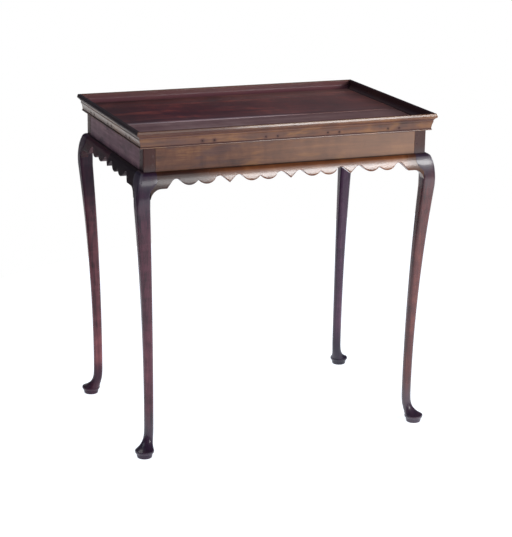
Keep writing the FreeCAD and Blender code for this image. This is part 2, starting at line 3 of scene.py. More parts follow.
import math
import bmesh
import bpy
import numpy as np
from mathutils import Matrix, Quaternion, Vector


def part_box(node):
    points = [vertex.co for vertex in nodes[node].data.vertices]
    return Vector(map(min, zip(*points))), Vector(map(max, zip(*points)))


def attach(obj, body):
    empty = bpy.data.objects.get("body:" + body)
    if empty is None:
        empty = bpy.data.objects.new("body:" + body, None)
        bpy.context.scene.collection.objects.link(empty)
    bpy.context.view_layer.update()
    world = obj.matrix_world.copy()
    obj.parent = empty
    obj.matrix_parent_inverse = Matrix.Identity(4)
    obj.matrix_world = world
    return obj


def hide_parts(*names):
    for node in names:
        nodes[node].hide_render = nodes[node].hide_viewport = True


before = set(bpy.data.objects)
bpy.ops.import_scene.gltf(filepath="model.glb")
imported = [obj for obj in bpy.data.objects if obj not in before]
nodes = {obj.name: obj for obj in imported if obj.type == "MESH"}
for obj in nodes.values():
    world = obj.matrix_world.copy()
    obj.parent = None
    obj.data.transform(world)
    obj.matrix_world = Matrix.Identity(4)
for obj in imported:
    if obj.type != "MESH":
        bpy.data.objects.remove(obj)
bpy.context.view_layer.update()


# Legs: four cabriole legs, each sawn and shaped from one length of mahogany.
# A square post tops a rounded knee, a long curved shank and a pad foot turned on a low disc.
# The posts are mortised for the rails and rise to the underside of the rim.

MM = 0.001
half_length = -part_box("rail_left")[0].x
half_depth = -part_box("rail_front")[0].y
frieze_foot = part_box("rail_front")[0].z
rim_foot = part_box("rail_front")[1].z

post_side = 26 * MM
post_edge = 1.0 * MM
post_line = 3 * MM
knee_projection = 19.4 * MM
knee_drop = 56 * MM
knee_shoulder = 10.9 * MM
knee_corner = 0.9 * MM
knee_height = 72 * MM
knee_fall = 0.5 * MM
knee_blend = (0.2, 0.62)
shank_side = 28.7 * MM
shank_corner = 5.3 * MM
shank_bend = 1.9
ankle_height = 80 * MM
ankle_setback = 13.7 * MM
ankle_side = 20 * MM
ankle_roundness = 0.96
foot_bend = 4.5
foot_spread = 7
pad_height = 16.5 * MM
pad_radius = 20 * MM
pad_undercut = 1.2 * MM
pad_swell = 1.1 * MM
crease_height = 0.91 * MM
shoe_radius = 14.4 * MM
shoe_flare = 3 * MM
shoe_height = 9.1 * MM
shoe_round = 2 * MM
shoe_ease = 1.6 * MM
shank_outer = knee_projection - knee_fall
shank_inner = shank_outer - shank_side
CORNERS = {
    "front_left": (-1, -1),
    "front_right": (1, -1),
    "back_left": (-1, 1),
    "back_right": (1, 1),
}

long_arc = (knee_projection ** 2 + knee_drop ** 2 - 2 * knee_drop * knee_shoulder) / (
    2 * (knee_projection - knee_shoulder))
shoulder_share = knee_shoulder / (long_arc - knee_shoulder)
shoulder_foot = knee_shoulder - (knee_drop - knee_shoulder) * shoulder_share


def knee_out(below):
    """How far the knee stands out at a depth below the frieze: a quarter round, then a long arc."""
    quarter = np.sqrt(np.maximum(knee_shoulder ** 2 - (knee_shoulder - below) ** 2, 0))
    bow = np.sqrt(long_arc ** 2 - (knee_drop - below) ** 2) - long_arc + knee_projection
    return np.where(below < shoulder_foot, quarter, bow)


def smooth(value, low, high):
    """A smooth step from 0 at low to 1 at high."""
    share = np.clip((value - low) / (high - low), 0, 1)
    return share * share * (3 - 2 * share)


def leg_rows():
    """Height, outer face, inner face and corner radius of every section of a leg, from the floor up.

    The disc flares to a crease and the pad swells over it. Powers of the height bend the foot back to
    the ankle and the shank out to the knee. The knee keeps its own curve up to the plain post.
    """
    turn = np.linspace(0, 1, 7)
    shoe_edge = shoe_radius + shoe_ease * np.sin(turn * np.pi / 2)
    pad_edge = pad_radius - pad_undercut + pad_undercut * turn + pad_swell * np.sin(turn * np.pi)
    pad_foot = shoe_height + crease_height
    radius = np.concatenate([shoe_edge, [shoe_radius + shoe_flare], pad_edge])
    height = np.concatenate([
        shoe_round * (1 - np.cos(turn * np.pi / 2)),
        [shoe_height],
        pad_foot + (pad_height - pad_foot) * turn,
    ])
    pad = (height, radius, -radius, radius)

    level = np.linspace(1, 0, 40)[1:]
    middle = -ankle_setback * (1 - level ** foot_bend)
    half = (ankle_side + (2 * pad_radius - ankle_side) * level ** foot_spread) / 2
    foot_height = ankle_height + (pad_height - ankle_height) * level
    foot = (foot_height, middle + half, middle - half, half * ankle_roundness)

    shank_top = frieze_foot - knee_height
    ankle_outer = ankle_side / 2 - ankle_setback
    ankle_inner = ankle_outer - ankle_side
    ankle_corner = ankle_side / 2 * ankle_roundness
    rise = np.linspace(0, 1, 60)[1:]
    share = rise ** shank_bend
    shank = (
        ankle_height + (shank_top - ankle_height) * rise,
        ankle_outer + (shank_outer - ankle_outer) * share,
        ankle_inner + (shank_inner - ankle_inner) * share,
        ankle_corner + (shank_corner - ankle_corner) * share,
    )

    below = knee_height * np.linspace(1, 0, 44)[1:] ** 2
    sag = knee_fall * np.clip((below - knee_drop) / (knee_height - knee_drop), 0, 1) ** 2
    ease = smooth(below / knee_height, *knee_blend)
    knee = (
        frieze_foot - below,
        np.where(below > knee_drop, knee_projection - sag, knee_out(below)),
        -post_side + (post_side + shank_inner) * ease,
        knee_corner + (shank_corner - knee_corner) * ease,
    )

    plain = np.ones(4)
    post = (np.linspace(frieze_foot, rim_foot, 4), 0 * plain, -post_side * plain, post_edge * plain)
    return [np.concatenate(parts) for parts in zip(pad, foot, shank, knee, post)]


def round_square(arc_steps, flat_steps):
    """Once round a square: which way the flats (-1 to 1) and the corner arcs (unit circle) reach."""
    corner = np.linspace(0, np.pi / 2, arc_steps)
    across = np.linspace(1, -1, flat_steps + 2)[1:-1]
    flat = np.stack([np.append(np.ones(arc_steps), across), np.ones(arc_steps + flat_steps)])
    arc = np.stack([
        np.append(np.cos(corner), np.zeros(flat_steps)),
        np.append(np.sin(corner), np.ones(flat_steps)),
    ])
    turns = [np.linalg.matrix_power([[0, -1], [1, 0]], quarter) for quarter in range(4)]
    return [np.concatenate([turn @ part for turn in turns], axis=1) for part in (flat, arc)]


def leg_points(side_x, side_y):
    """Rings of a leg: each a rounded square on the diagonal of its post, reflected to its corner."""
    height, outer, inner, corner = leg_rows()
    flat, arc = round_square(arc_steps=9, flat_steps=3)
    middle = (outer + inner) / 2
    reach = (outer - inner) / 2 - corner
    plan = middle[:, None, None] + reach[:, None, None] * flat.T + corner[:, None, None] * arc.T
    points = np.empty((len(height), flat.shape[1], 3))
    points[..., 0] = side_x * (half_length + plan[..., 0])
    points[..., 1] = side_y * (half_depth + plan[..., 1])
    points[..., 2] = height[:, None]
    return points


def tube(points):
    """Stacked rings as points and faces: quads between the rings, and one face over each end."""
    rows, columns = points.shape[:2]
    ring = np.arange(columns)
    after = np.roll(ring, -1)
    start = np.arange(rows - 1)[:, None] * columns
    above = start + columns
    quads = np.stack([start + ring, start + after, above + after, above + ring], axis=-1)
    ends = [ring[::-1].tolist(), ((rows - 1) * columns + ring).tolist()]
    return points.reshape(-1, 3), quads.reshape(-1, 4).tolist() + ends


def soften(piece, sharp_angle=33):
    """Shades a piece smooth, except over edges that turn more than an angle in degrees."""
    piece.data.shade_smooth()
    piece.data.set_sharp_from_angle(angle=math.radians(sharp_angle))


def new_piece(name, points, faces, weld=0.002 * MM):
    """A mesh object at the origin, with points nearer than the weld merged and its faces outward."""
    mesh = bpy.data.meshes.new(name)
    mesh.from_pydata(points.tolist(), [], faces)
    work = bmesh.new()
    work.from_mesh(mesh)
    bmesh.ops.remove_doubles(work, verts=work.verts, dist=weld)
    bmesh.ops.recalc_face_normals(work, faces=work.faces)
    work.to_mesh(mesh)
    work.free()
    piece = bpy.data.objects.new(name, mesh)
    bpy.context.scene.collection.objects.link(piece)
    soften(piece)
    return piece


def paint(piece, name, formula):
    """Gives a piece a named value at every point, worked out from the points' x, y and z.

    It takes the place of a value of that name that a cut has brought over from the cutter.
    """
    mesh = piece.data
    places = np.empty(len(mesh.vertices) * 3)
    mesh.vertices.foreach_get("co", places)
    values = formula(*places.reshape(-1, 3).T)
    if name in mesh.attributes:
        mesh.attributes.remove(mesh.attributes[name])
    layer = mesh.attributes.new(name, "FLOAT", "POINT")
    layer.data.foreach_set("value", values.astype(np.float32))


class Shade:
    """One socket of a material's nodes. Operators add Math nodes, and node() adds any other."""

    def __init__(self, tree, socket=None):
        self.tree = tree
        self.socket = socket

    def node(self, kind, settings, sockets, out=0):
        """Adds a node, sets it up, then fills or links its sockets, and gives one of its outputs."""
        made = self.tree.nodes.new(kind)
        for name, value in settings.items():
            setattr(made, name, value)
        for name, value in sockets.items():
            if isinstance(value, Shade):
                self.tree.links.new(value.socket, made.inputs[name])
            else:
                made.inputs[name].default_value = value
        return Shade(self.tree, made.outputs[out])

    def maths(self, operation, first, second=0.0):
        """A Math node on two values."""
        return self.node("ShaderNodeMath", {"operation": operation}, {0: first, 1: second})

    def __add__(self, other):
        return self.maths("ADD", self, other)

    def __sub__(self, other):
        return self.maths("SUBTRACT", self, other)

    def __rsub__(self, other):
        return self.maths("SUBTRACT", other, self)

    def __mul__(self, other):
        return self.maths("MULTIPLY", self, other)

    __radd__ = __add__
    __rmul__ = __mul__

    def step(self, low, high):
        """A smooth step from 0 to 1 as this value goes from low to high."""
        return self.node("ShaderNodeMapRange", {"interpolation_type": "SMOOTHSTEP"},
                         {"Value": self, "From Min": low, "From Max": high})

    def mix(self, first, second):
        """Two colours mixed by this value, from 0 for the first to 1 for the second."""
        return self.node("ShaderNodeMix", {"data_type": "RGBA"}, {0: self, 6: first, 7: second}, out=2)


def rgb(red, green, blue):
    """A colour given as display values from 0 to 255."""
    display = np.array([red, green, blue]) / 255
    linear = np.where(display <= 0.04045, display / 12.92, ((display + 0.055) / 1.055) ** 2.4)
    return (*linear.tolist(), 1.0)


def new_material(name, constants):
    """A material, its first shade, and its shader with the sockets that are the same all over set."""
    material = bpy.data.materials.new(name)
    material.use_nodes = True
    shader = material.node_tree.nodes["Principled BSDF"]
    for socket, value in constants.items():
        shader.inputs[socket].default_value = value
    return material, Shade(material.node_tree), shader


def old_wood(name, grain, dark, body, light, roughness, coat, specular=0.5, soil_and_shade=rgb(22, 13, 17),
             dull=0.12, worn=None, patches=None, fade=None, inside=None, streaks=(4, 80), rippled=0.15,
             thin_polish=False):
    """Old wood under worn polish, its streaks, figure and pores drawn out along the grain axis.

    Noise at several scales gives a tone, from dark through body to light, and ripples cross it. A dark
    colour covers, and dulls, what is painted as dirt and shade: real dirt and old polish in some
    places, painted shade in others. A worn colour shows where rubbing and highlights are painted: real
    rubbing in some places, a painted highlight in others. Patches are two colours of old polish. A
    fade, from one place along the grain to another, is pale, wanders and has a strength. Inside an axis
    and a distance from the frame's middle, the wood is raw. Thin polish is missing where a piece is
    painted bare.
    """
    material, shade, shader = new_material(name, {
        "Coat Weight": coat,
        "Coat Roughness": 0.12,
        "Specular IOR Level": specular,
    })
    place = shade.node("ShaderNodeTexCoord", {}, {}, out="Object")

    def drawn(along, across, detail):
        """Noise with so many waves in a metre along the grain and across it."""
        scale = [across] * 3
        scale[grain] = along
        stretched = shade.node("ShaderNodeMapping", {}, {"Vector": place, "Scale": scale})
        return shade.node("ShaderNodeTexNoise", {}, {
            "Vector": stretched, "Scale": 1.0, "Detail": detail, "Roughness": 0.6, "Distortion": 0.4})

    def painted(layer):
        """A value painted on the piece, or 0 where it has none of that name."""
        return shade.node("ShaderNodeAttribute", {"attribute_name": layer}, {}, out="Fac")

    def coordinate(axis):
        """Distance along an axis of the table."""
        return shade.node("ShaderNodeSeparateXYZ", {}, {0: place}, out=axis)

    cloud = drawn(along=8, across=13, detail=3)
    ripple = drawn(along=45, across=18, detail=2)
    ribbon = drawn(*streaks, detail=4)
    figure = drawn(along=16, across=420, detail=4)
    pores = drawn(along=110, across=1500, detail=2).step(0.60, 0.72)
    # Masks painted on the pieces: dirt together with painted shade, and rubbing together with painted
    # highlights.
    grime_and_shade = (painted("grime_and_shade") * (0.55 + cloud * 0.9)).step(0.05, 0.9)
    wear_and_highlight = (painted("wear_and_highlight") * (0.4 + figure * 1.2)).step(0.05, 0.9)

    tone = (ribbon.step(0.32, 0.68) * 0.35 + figure.step(0.3, 0.7) * 0.2 + cloud.step(0.32, 0.68) * 0.3
            + (ripple.step(0.3, 0.7) - 0.5) * rippled + 0.075)
    colour = tone.step(0.0, 0.6).mix(dark, body)
    colour = tone.step(0.5, 1.0).mix(colour, light)
    colour = (pores * 0.5).mix(colour, dark)
    if patches:
        golden, purple = patches
        patch = drawn(along=9, across=30, detail=3)
        colour = (patch.step(0.54, 0.7) * 0.65).mix(colour, golden)
        colour = (patch.step(0.46, 0.32) * 0.6).mix(colour, purple)
    colour = (wear_and_highlight * 0.6).mix(colour, worn or light)
    colour = (grime_and_shade * 0.85).mix(colour, soil_and_shade)
    rough = roughness + (cloud - 0.5) * 0.14 + pores * 0.08 + grime_and_shade * dull - wear_and_highlight * 0.14
    if fade:
        start, finish, pale, wander, strength = fade
        faded = (coordinate(grain) + cloud * wander).step(start, finish)
        colour = (faded * strength).mix(colour, pale)
    if inside:
        axis, distance = inside
        raw = 1 - shade.maths("ABSOLUTE", coordinate(axis)).step(distance - 1.0 * MM, distance)
        colour = raw.mix(colour, tone.mix(rgb(36, 21, 17), rgb(54, 34, 28)))
        rough = rough + raw * 0.35
    height = cloud * 0.25 + ripple * 0.08 + ribbon * 0.05 + figure * 0.015 - pores * 0.015
    bump = shade.node("ShaderNodeBump", {}, {"Height": height, "Strength": 0.5, "Distance": 1.0 * MM})
    sockets = {"Base Color": colour, "Roughness": rough, "Normal": bump}
    if thin_polish:
        sockets["Coat Weight"] = coat - painted("bare") * coat
    for socket, value in sockets.items():
        material.node_tree.links.new(value.socket, shader.inputs[socket])
    return material


def dress(piece, material):
    """Gives a piece its finish."""
    piece.data.materials.clear()
    piece.data.materials.append(material)


def stand_for(piece, node, material):
    """Puts a new piece in a node's place on the table, with its finish."""
    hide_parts(node)
    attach(piece, "root")
    dress(piece, material)


def on_post(z):
    """0 on the knee and 1 on the post, with a short step at the foot of the frieze."""
    return smooth(z, frieze_foot, frieze_foot + post_line)


def leg_grime_and_shade(x, y, z):
    """Old dark polish at the foot, about the knee and up the post, and a painted shadow in the crease
    over the disc.

    It comes furthest down the shank on the left, and thins out slowest on the back left leg.
    """
    foot = 0.75 * smooth(z, 130 * MM, 30 * MM)
    # A painted shadow in the crease between the disc and the pad.
    crease = np.exp(-((z - shoe_height) / (2 * MM)) ** 2)
    back_left = (x < 0) & (y > 0)
    reach = np.select([back_left, x < 0], [250 * MM, 200 * MM], 110 * MM)
    full = np.where(back_left, 100 * MM, 8 * MM)
    knee = 0.8 * smooth(z, frieze_foot - reach, frieze_foot - full) * (1 - on_post(z))
    post = 0.2 * on_post(z)
    return np.clip(foot + crease + knee + post, 0, 1)


def leg_bare(x, y, z):
    """Where the polish is worn through: all but the long sides of the knees, and the pads."""
    long_side = smooth(np.abs(y) - half_depth - np.abs(x) + half_length, -4 * MM, 2 * MM)
    knee = smooth(z, frieze_foot - 100 * MM, frieze_foot - 50 * MM) * (1 - on_post(z))
    pad = smooth(z, 120 * MM, 60 * MM) * smooth(z, shoe_height, pad_height)
    return 1 - np.maximum(knee * long_side, pad)


def leg_wear_and_glint(x, y, z):
    """Rubbed arrises with a painted highlight: where the two outer faces of the knee and shank meet."""
    diagonal = np.abs((np.abs(x) - half_length) - (np.abs(y) - half_depth))
    knee = smooth(z, frieze_foot - 60 * MM, frieze_foot - 15 * MM)
    under_frieze = smooth(z, frieze_foot, frieze_foot - 3 * MM)
    shank = 0.2 * smooth(z, 160 * MM, 300 * MM)
    return smooth(diagonal, 2.5 * MM, 0) * (shank + knee * under_frieze)


post_fade = (frieze_foot - 2 * MM, frieze_foot + 2 * MM, rgb(67, 35, 24), 0.0, 0.88)
# The blue-grey of each leg's dark colour for knees and feet is partly a painted bluish sheen.
LEG_WOODS = {
    "front_left": {
        "dark": rgb(36, 17, 28), "body": rgb(96, 50, 64), "light": rgb(136, 78, 88),
        "soil_and_shade": rgb(34, 27, 50), "specular": 0.38, "coat": 0.45,
    },
    "front_right": {
        "dark": rgb(38, 16, 20), "body": rgb(94, 42, 42), "light": rgb(132, 70, 60),
        "soil_and_shade": rgb(56, 48, 66), "specular": 0.66, "coat": 0.5,
    },
    "back_left": {
        "dark": rgb(46, 24, 32), "body": rgb(116, 62, 70), "light": rgb(160, 92, 94),
        "soil_and_shade": rgb(28, 11, 38), "specular": 0.3, "coat": 0.0,
    },
    "back_right": {
        "dark": rgb(30, 14, 30), "body": rgb(66, 34, 62), "light": rgb(96, 58, 82),
        "soil_and_shade": rgb(14, 12, 34), "specular": 0.55, "coat": 0.0,
    },
}
legs = {}
for corner, (side_x, side_y) in CORNERS.items():
    leg = new_piece("shaped_leg_" + corner, *tube(leg_points(side_x, side_y)))
    paint(leg, "grime_and_shade", leg_grime_and_shade)
    paint(leg, "wear_and_highlight", leg_wear_and_glint)
    paint(leg, "bare", leg_bare)
    # The near-white worn colour paints a highlight along the knees' arrises.
    leg_wood = old_wood("leg_mahogany_" + corner, 2, roughness=0.27, worn=rgb(210, 202, 206),
                        fade=post_fade, rippled=0.16, thin_polish=LEG_WOODS[corner]["coat"] > 0,
                        **LEG_WOODS[corner])
    stand_for(leg, "leg_" + corner, leg_wood)
    legs[corner] = leg


# Frieze rails: four plain, straight-grained mahogany boards, tenoned into the posts and pegged.
# Only the outside is planed and polished: the inside was left as it came from the saw.

rail_thickness = 20 * MM
raw_line = rail_thickness - 2 * MM
PAIRS = {
    "front": (0, ("front", "back"), half_depth),
    "left": (1, ("left", "right"), half_length),
}
RAIL_WOODS = {
    "front": {
        "dark": rgb(62, 33, 25), "body": rgb(106, 63, 40), "light": rgb(146, 98, 58),
        "patches": (rgb(154, 100, 42), rgb(70, 44, 48)),
        # The pale fade toward the right end is a painted sheen.
        "fade": (-0.15, 0.4, rgb(178, 142, 118), 0.2, 0.5),
    },
    # The end rails' pale, pink tones are painted light, standing in for lamp light on the ends.
    "left": {
        "dark": rgb(90, 58, 65), "body": rgb(134, 94, 101), "light": rgb(164, 122, 124),
        "patches": (rgb(98, 68, 64), rgb(62, 42, 50)),
    },
}
for pair, (grain, sides, face) in PAIRS.items():
    rail_wood = old_wood("rail_mahogany_" + pair, grain, roughness=0.44, coat=0.1, rippled=0.22,
                         inside=(1 - grain, face - raw_line), **RAIL_WOODS[pair])
    for side in sides:
        dress(nodes["rail_" + side], rail_wood)


# Tenon pegs: sixteen riven mahogany pegs through posts and tenons, two at each end of a rail.
# They were driven in and cut off almost flush, and have crept out by a hair.

peg_radius = 2.2 * MM
peg_length = 17 * MM
peg_proud = 0.25 * MM
peg_inset = 19.5 * MM
tenon_shoulder = 7 * MM
tenon_foot = frieze_foot + tenon_shoulder
tenon_height = rim_foot - frieze_foot - 2 * tenon_shoulder
peg_rises = {1: (0.21, 0.684), -1: (0.394, 0.868)}
SIDES = {
    "back": (0, half_depth, half_length),
    "left": (90, half_length, half_depth),
    "front": (180, half_depth, half_length),
    "right": (270, half_length, half_depth),
}


def to_side(points, side):
    """Points laid out along, outward from and up a frieze face, turned to that side of the table."""
    turn, face, _ = SIDES[side]
    cosine = round(math.cos(math.radians(turn)))
    sine = round(math.sin(math.radians(turn)))
    along, out, height = points[..., 0], points[..., 1] + face, points[..., 2]
    return np.stack([along * cosine - out * sine, along * sine + out * cosine, height], axis=-1)


def turned(profile, along, height, steps=14):
    """A round pin pointing out of a frieze face: radius and outward distance carried round its axis."""
    radius, out = np.array(profile).T
    angle = np.linspace(0, 2 * np.pi, steps, endpoint=False)
    ring = np.stack([np.cos(angle), 0 * angle, np.sin(angle)], axis=-1)
    axis = np.stack([along + 0 * out, out, height + 0 * out], axis=-1)
    return radius[:, None, None] * ring + axis[:, None]


def joined(parts):
    """Several shapes, each points and faces, as the points and faces of one mesh."""
    starts = np.cumsum([0] + [len(points) for points, _ in parts])
    faces = [(start + np.array(face)).tolist()
             for start, (_, shape) in zip(starts, parts) for face in shape]
    return np.concatenate([points for points, _ in parts]), faces


peg_profile = [
    (peg_radius * 0.86, -peg_length),
    (peg_radius, -peg_length * 0.6),
    (peg_radius, 0),
    (peg_radius * 0.8, peg_proud * 0.8),
    (peg_radius * 0.4, peg_proud),
]
pegs = [
    tube(to_side(turned(peg_profile, end * (run - peg_inset), tenon_foot + rise * tenon_height), side))
    for side, (_, _, run) in SIDES.items() for end in (1, -1) for rise in peg_rises[end]
]
peg_wood = old_wood("peg_mahogany", 2, rgb(34, 16, 16), rgb(66, 34, 30), rgb(90, 50, 40),
                    roughness=0.4, coat=0.2)
peg_set = new_piece("driven_pegs", *joined(pegs))
stand_for(peg_set, "tenon_pegs", peg_wood)


# Aprons: four thin mahogany mouldings under the rails, bowed to run on from the knees.
# They are glued to the rails, with blocks behind.
# Their lower edges are sawn by hand into pointed drops, small arches and pairs of lobes.

apron_depth = 29.5 * MM
apron_cusp = 19.5 * MM
apron_back = 12 * MM
apron_relief = 2 * MM
apron_recess = 0.3 * MM
apron_arris = 1.3 * MM
arch_spring = 18.5 * MM
arch_width = 17 * MM
arch_radius = 12.07 * MM
drop_half = 12.5 * MM
lobe_roundness = 0.607
arch_middle = drop_half + arch_width / 2
arch_end = drop_half + arch_width
EARS = {"front": (45 * MM, 2), "back": (45 * MM, 2), "left": (60 * MM, 1), "right": (60 * MM, 1)}


def drop_pitch(side):
    """Distance between the drops of a side, from the middle of the apron to the bracket's ear."""
    inset, drops = EARS[side]
    return (SIDES[side][2] - inset) / drops


def arch_edge(away):
    """Depth of the small arch at a distance from its drop: an arc above its springing line."""
    rise = np.sqrt(np.maximum(arch_radius ** 2 - (away - arch_middle) ** 2, 0))
    return arch_spring - rise + math.sqrt(arch_radius ** 2 - arch_width ** 2 / 4)


def apron_edge(along, side):
    """Depth of an apron's edge: a drop, an arch and half a pair of lobes, mirrored and repeated."""
    pitch = drop_pitch(side)
    away = np.abs(along - pitch * np.round(along / pitch))
    drop = apron_depth + (arch_spring - apron_depth) * away / drop_half
    chord = np.array([pitch / 2 - arch_end, apron_cusp - arch_spring])
    lobe_radius = lobe_roundness * chord[0]
    lift = math.sqrt(lobe_radius ** 2 - chord @ chord / 4) / math.hypot(*chord)
    middle = np.array([arch_end, arch_spring]) + chord / 2 + lift * np.array([chord[1], -chord[0]])
    lobe = middle[1] + np.sqrt(np.maximum(lobe_radius ** 2 - (away - middle[0]) ** 2, 0))
    return np.select([away < drop_half, away < arch_end], [drop, arch_edge(away)], lobe)


def apron_stations(side):
    """Places along an apron: even steps to its end arches, and every corner of its edge."""
    pitch = drop_pitch(side)
    stop = SIDES[side][2] - EARS[side][0] - arch_middle
    corners = np.array([0, drop_half, arch_end, pitch / 2, pitch - arch_end, pitch - drop_half])
    knots = (pitch * np.arange(-3, 3)[:, None] + corners).ravel()
    steps = np.linspace(-stop, stop, 420)
    return np.unique(np.concatenate([steps, knots[np.abs(knots) < stop]]).round(7))


def moulding(along, edge):
    """Rings round a bowed moulding: the knee's curve down its face, a rounded arris and its back.

    The back is plain behind the rail, then slopes out toward the edge.
    """
    share = np.linspace(0, 1, 22) ** 1.5
    below = share[:, None] * (edge - apron_arris)
    face = np.stack([knee_out(below) - apron_recess, below], axis=-1)
    angle = np.linspace(0, np.pi / 2, 6)[1:, None]
    arris = np.stack([
        face[-1, :, 0] + apron_arris * (np.cos(angle) - 1),
        edge - apron_arris + apron_arris * np.sin(angle),
    ], axis=-1)
    slope = (apron_relief + rail_thickness) / (apron_depth - apron_back)
    depth = np.minimum(edge, np.array([np.inf, apron_depth, apron_back, 0.0])[:, None])
    out = np.clip(slope * (depth - apron_back) - rail_thickness, -rail_thickness, apron_relief)
    ring = np.concatenate([face, arris, np.stack([out, depth], axis=-1)])
    points = np.empty((*ring.shape[:2], 3))
    points[..., 0] = along
    points[..., 1] = ring[..., 0]
    points[..., 2] = frieze_foot - ring[..., 1]
    return points.transpose(1, 0, 2)


def apron_grime_and_shade(x, y, z):
    """Painted shade in the angle under the frieze, and darker wood toward the ends of the front."""
    # A painted shade line in the angle under the frieze.
    angle = 0.9 * smooth(z, frieze_foot - 1.8 * MM, frieze_foot - 0.3 * MM)
    left_end = 0.75 * smooth(x, -80 * MM, -240 * MM)
    right_end = 0.5 * smooth(x, 240 * MM, 290 * MM)
    return np.maximum(angle, (left_end + right_end) * (y < 0))


APRON_WOODS = {
    "front": {
        "dark": rgb(70, 34, 22), "body": rgb(122, 72, 42), "light": rgb(156, 100, 58),
        "roughness": 0.22, "coat": 0.4, "specular": 0.5,
    },
    "left": {
        "dark": rgb(36, 12, 18), "body": rgb(70, 29, 36), "light": rgb(98, 48, 50),
        "roughness": 0.44, "coat": 0.0, "specular": 0.25,
    },
}
apron_woods = {}
for pair, (grain, sides, face) in PAIRS.items():
    apron_wood = old_wood("apron_mahogany_" + pair, grain, inside=(1 - grain, face - raw_line),
                          **APRON_WOODS[pair])
    for side in sides:
        along = apron_stations(side)
        rings = to_side(moulding(along, apron_edge(along, side)), side)
        apron = new_piece("scalloped_apron_" + side, *tube(rings))
        paint(apron, "grime_and_shade", apron_grime_and_shade)
        stand_for(apron, "apron_" + side, apron_wood)
        apron_woods[side] = apron_wood


# Knee brackets: eight short mahogany returns that carry the aprons' moulding into the knees.
# Each is glued under the rail and fitted to the side of its leg, ending in a hollow.

ear_depth = 33 * MM
ear_hollow = 24 * MM
bracket_seat = 0.6 * MM


def bracket_edge(along, ear, inner):
    """Depth of a bracket's edge: half an arch, a pointed ear, a level stretch and a quarter hollow."""
    away = ear - along
    drop = ear_depth + (arch_spring - ear_depth) * away / drop_half
    dip = np.clip(along - inner + ear_hollow, 0, ear_hollow)
    hollow = ear_depth + ear_hollow - np.sqrt(ear_hollow ** 2 - dip ** 2)
    return np.select([away > drop_half, away > 0], [arch_edge(away), drop], hollow)


def cut(piece, cutter):
    """Takes a cutter's shape out of a piece."""
    trim = piece.modifiers.new("cut", "BOOLEAN")
    trim.object = cutter
    trim.solver = "MANIFOLD"
    graph = bpy.context.evaluated_depsgraph_get()
    shape = bpy.data.meshes.new_from_object(piece.evaluated_get(graph))
    piece.modifiers.clear()
    piece.data = shape
    soften(piece)


for corner, (side_x, side_y) in CORNERS.items():
    hands = {
        "long": ("front" if side_y < 0 else "back", side_x * side_y),
        "end": ("left" if side_x < 0 else "right", -side_x * side_y),
    }
    for kind, (side, hand) in hands.items():
        run = SIDES[side][2]
        ear = run - EARS[side][0]
        inner = run + shank_inner + bracket_seat
        along = np.linspace(ear - arch_middle, run - shank_side / 3, 60)
        along = np.unique(np.concatenate([along, [ear - drop_half, ear, inner - ear_hollow]]).round(7))
        rings = to_side(moulding(hand * along, bracket_edge(along, ear, inner)), side)
        bracket = new_piece(f"fitted_bracket_{corner}_{kind}", *tube(rings))
        cut(bracket, legs[corner])
        paint(bracket, "grime_and_shade", apron_grime_and_shade)
        stand_for(bracket, f"bracket_{corner}_{kind}", apron_woods[side])


# Glue blocks: chamfered offcuts of pine in a row along the inside of each rail.
# They are rubbed with glue into the angle of rail and apron, and were never polished.

block_wood = old_wood("block_pine", 0, rgb(120, 84, 56), rgb(158, 120, 84), rgb(182, 146, 106),
                      roughness=0.7, coat=0.0)
for side in SIDES:
    dress(nodes["glue_blocks_" + side], block_wood)


# Tray boards: two wide mahogany boards laid edge to edge, with the joint before the middle.
# Their faces are polished, their undersides raw, and long use has left them a little hollow.
# The front board has sunk below the back one, whose raised edge carries a painted highlight.

board_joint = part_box("tray_board_front")[1].y
board_ease = 1.2 * MM
board_hollow = 0.25 * MM
hollow_rate = 9
hollow_start = 1
board_fade = (-0.1, 0.36, rgb(170, 126, 116), 0.2, 0.5)
BOARDS = {
    # The front board's pale, grey tones are a painted sheen.
    "front": (0.9 * MM, rgb(118, 78, 76), rgb(166, 126, 122), rgb(200, 166, 160)),
    "back": (0.0, rgb(30, 6, 9), rgb(112, 42, 39), rgb(206, 96, 76)),
}


def board_points(low, high):
    """A board as rounded rectangles carried along x: its top dips by slow waves along and across."""
    flat, arc = round_square(arc_steps=5, flat_steps=24)
    along = np.linspace(low.x, high.x, 60)
    middle = (low + high) / 2
    half_width = (high.y - low.y) / 2
    half_thick = (high.z - low.z) / 2
    across = middle.y + flat[0] * (half_width - board_ease) + arc[0] * board_ease
    height = middle.z + flat[1] * (half_thick - board_ease) + arc[1] * board_ease
    points = np.empty((len(along), len(across), 3))
    points[..., 0] = along[:, None]
    points[..., 1] = across
    lengthwise = np.sin(along * hollow_rate + hollow_start)[:, None]
    wave = lengthwise * np.cos((across - low.y) / half_width * np.pi)
    top = flat[1] > 0.99
    points[..., 2] = height - board_hollow * (0.5 + 0.5 * wave) * top
    return points


def board_grime_and_shade(x, y, z):
    """Darker toward the left end of the back board, and painted shade along the foot of the back rim.
    """
    left_end = 0.55 * smooth(x, -100 * MM, -300 * MM) * (y > board_joint)
    # Painted shade on the boards under the back rim.
    back_edge = 0.5 * smooth(y, 130 * MM, 200 * MM)
    return np.maximum(left_end, back_edge)


def board_joint_highlight(x, y, z):
    """A painted highlight at the back board's raised edge along the joint, and a little paler behind
    it.
    """
    behind = y - board_joint
    # A painted highlight along the raised edge at the joint.
    edge = smooth(behind, 4 * MM, 1 * MM) * smooth(x, 200 * MM, -50 * MM)
    haze = 0.19 * smooth(behind, 130 * MM, 10 * MM)
    return np.maximum(edge, haze) * (behind > 0)


